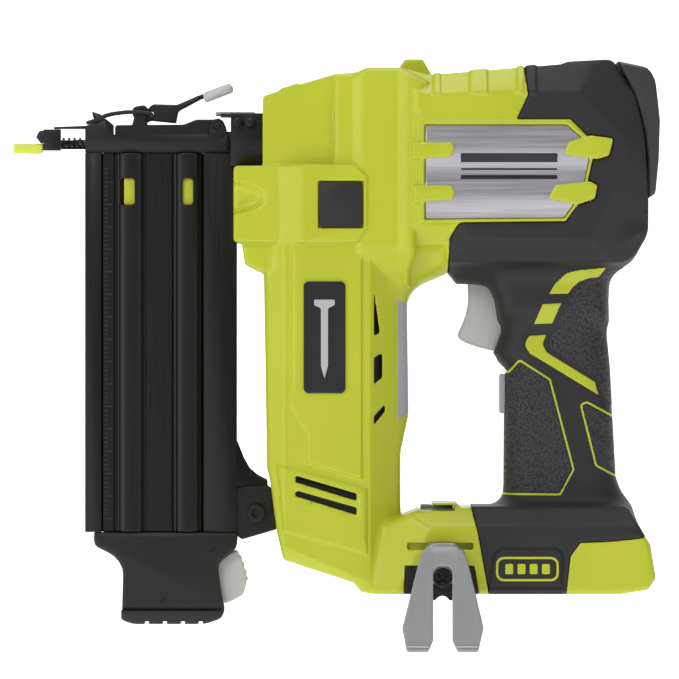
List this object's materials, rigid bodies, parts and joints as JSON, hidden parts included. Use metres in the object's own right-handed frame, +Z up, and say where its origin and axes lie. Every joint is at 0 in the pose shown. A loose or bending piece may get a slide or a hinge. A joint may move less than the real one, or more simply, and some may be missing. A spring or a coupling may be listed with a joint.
{
  "type": "cordless brad nailer",
  "caption": "Pistol-shaped cordless brad nailer with a built-in compressor, a nose latch, a sliding brad magazine, a belt hook and a battery foot.",
  "frame": {"origin": "on the battery seat, the flat plate under the foot, in front of the battery post socket, in the plane where the housing halves meet", "axes": "-X towards the nose and the work, +Z up from the battery foot to the drive cylinder, +Y from the left half to the right half"},
  "size_m": [0.2875, 0.0961, 0.2617],
  "materials": {
    "lime_plastic": "moulded, fine texture",
    "dark_rubber": "soft overmould",
    "black_plastic": "moulded",
    "grey_plastic": "moulded",
    "steel": "satin",
    "black_steel": "black oxide",
    "black_aluminium": "black anodised",
    "hook_metal": "satin silver paint",
    "panel": "brushed",
    "aluminium": "cast",
    "copper": "bare",
    "pad_plastic": "soft",
    "lens_plastic": "clear",
    "board": "lacquered",
    "bumper_rubber": "soft"
  },
  "bodies": {
    "housing": {"left_housing": "lime_plastic", "right_housing": "lime_plastic", "left_grip_cover": "dark_rubber", "right_grip_cover": "dark_rubber", "rear_cap": "dark_rubber", "left_cylinder_panel": "panel", "right_cylinder_panel": "panel", "left_side_plug": "dark_rubber", "right_side_plug": "dark_rubber", "name_plate": "black_plastic", "work_light_lens": "lens_plastic", "battery_socket": "black_plastic", "terminal_block": "copper", "belt_hook": "hook_metal", "hook_screw": "steel", "housing_screw_1": "steel", "housing_screw_2": "steel", "housing_screw_3": "steel", "housing_screw_4": "steel", "circuit_board": "board", "trigger_switch": "black_plastic", "trigger_pin": "steel", "motor_can": "steel", "ring_gear": "steel", "compressor_cylinder": "aluminium", "drive_cylinder": "aluminium", "drive_bumper": "bumper_rubber", "nose_casting": "aluminium", "nose_base": "black_steel", "door_pin": "steel", "contact_spring": "steel", "magazine_body": "black_aluminium", "magazine_bracket": "black_steel", "bracket_bolt": "steel", "nose_bolt_1": "steel", "nose_bolt_2": "steel"},
    "dial": {"pressure_dial": "black_plastic"},
    "trigger": {"trigger": "grey_plastic"},
    "plunger": {"switch_plunger": "grey_plastic"},
    "rotor": {"rotor": "copper"},
    "crank": {"crank": "steel"},
    "planet_1": {"planet_gear_1": "steel"},
    "planet_2": {"planet_gear_2": "steel"},
    "planet_3": {"planet_gear_3": "steel"},
    "piston": {"compressor_piston": "aluminium"},
    "conrod": {"connecting_rod": "aluminium"},
    "driver": {"drive_piston": "aluminium", "driver_blade": "steel"},
    "door": {"nose_door": "black_steel"},
    "lever": {"latch_lever": "black_steel", "latch_tip": "grey_plastic"},
    "bail": {"latch_bail": "steel"},
    "contact": {"contact_arm": "black_steel", "contact_pad": "pad_plastic"},
    "wheel": {"depth_wheel": "black_plastic"},
    "magazine": {"magazine_cover": "black_aluminium", "magazine_grip": "dark_rubber", "grip_pad": "bumper_rubber"},
    "magazine_latch": {"magazine_latch": "grey_plastic"},
    "pusher": {"pusher": "pad_plastic"}
  },
  "joints": [
    {"name": "pressure_dial_turn", "type": "hinge", "parent": "housing", "child": "dial", "pos_m": [0.0648, 0, 0.205], "axis": [1, 0, 0], "range_deg": [-135, 135]},
    {"name": "trigger_pull", "type": "hinge", "parent": "housing", "child": "trigger", "pos_m": [-0.0075, 0, 0.1415], "axis": [0, -1, 0], "range_deg": [0, 9], "stiffness_Nm_per_rad": 0.6, "springref_deg": -9.74},
    {"name": "plunger_press", "type": "slide", "parent": "housing", "child": "plunger", "axis": [1, 0, 0], "range_m": [0, 0.0037]},
    {"name": "crank_turn", "type": "hinge", "parent": "housing", "child": "crank", "pos_m": [-0.0745, 0, 0.12], "axis": [0, 0, 1], "continuous": true},
    {"name": "rotor_turn", "type": "hinge", "parent": "housing", "child": "rotor", "pos_m": [-0.0745, 0, 0.06], "axis": [0, 0, 1], "continuous": true},
    {"name": "planet_turn_1", "type": "hinge", "parent": "crank", "child": "planet_1", "pos_m": [-0.06243, 0, 0.112], "axis": [0, 0, 1], "continuous": true},
    {"name": "planet_turn_2", "type": "hinge", "parent": "crank", "child": "planet_2", "pos_m": [-0.08054, 0.01046, 0.112], "axis": [0, 0, 1], "continuous": true},
    {"name": "planet_turn_3", "type": "hinge", "parent": "crank", "child": "planet_3", "pos_m": [-0.08054, -0.01046, 0.112], "axis": [0, 0, 1], "continuous": true},
    {"name": "compressor_stroke", "type": "slide", "parent": "housing", "child": "piston", "axis": [1, 0, 0], "range_m": [0, 0.026]},
    {"name": "rod_swing", "type": "hinge", "parent": "piston", "child": "conrod", "pos_m": [-0.0425, 0, 0.166], "axis": [0, 0, 1], "range_deg": [-16.8, 16.8]},
    {"name": "drive_stroke", "type": "slide", "parent": "housing", "child": "driver", "axis": [-1, 0, 0], "range_m": [0, 0.082]},
    {"name": "door_swing", "type": "hinge", "parent": "housing", "child": "door", "pos_m": [-0.1265, 0, 0.208], "axis": [0, 1, 0], "range_deg": [0, 38]},
    {"name": "latch_lever_swing", "type": "hinge", "parent": "door", "child": "lever", "pos_m": [-0.161, 0, 0.212], "axis": [0, -1, 0], "range_deg": [0, 115]},
    {"name": "bail_swing", "type": "hinge", "parent": "lever", "child": "bail", "pos_m": [-0.156, 0, 0.2135], "axis": [0, -1, 0], "range_deg": [-115, 0]},
    {"name": "contact_slide", "type": "slide", "parent": "housing", "child": "contact", "axis": [1, 0, 0], "range_m": [0, 0.0065], "stiffness_N_per_m": 700, "springref_m": -0.004, "deforming": ["contact_spring"]},
    {"name": "depth_wheel_turn", "type": "hinge", "parent": "housing", "child": "wheel", "pos_m": [-0.124, 0.0175, 0.2], "axis": [1, 0, 0], "range_deg": [-180, 180]},
    {"name": "magazine_slide", "type": "slide", "parent": "housing", "child": "magazine", "axis": [0, 0, -1], "range_m": [0, 0.11]},
    {"name": "magazine_latch_press", "type": "hinge", "parent": "magazine", "child": "magazine_latch", "pos_m": [-0.121, 0, 0.0135], "axis": [0, 1, 0], "range_deg": [0, 12], "stiffness_Nm_per_rad": 0.3, "springref_deg": -11.46},
    {"name": "pusher_slide", "type": "slide", "parent": "magazine", "child": "pusher", "axis": [0, 0, -1], "range_m": [0, 0.1], "stiffness_N_per_m": 25, "springref_m": -0.06}
  ],
  "couplings": [
    {"joint": "plunger_press", "follows": "trigger_pull", "m_per_rad": 0.023},
    {"joint": "rotor_turn", "follows": "crank_turn", "ratio": 4.6667},
    {"joint": "planet_turn_1", "follows": "crank_turn", "ratio": -2.75},
    {"joint": "planet_turn_2", "follows": "crank_turn", "ratio": -2.75},
    {"joint": "planet_turn_3", "follows": "crank_turn", "ratio": -2.75},
    {"joint": "bail_swing", "follows": "latch_lever_swing", "ratio": -1}
  ]
}
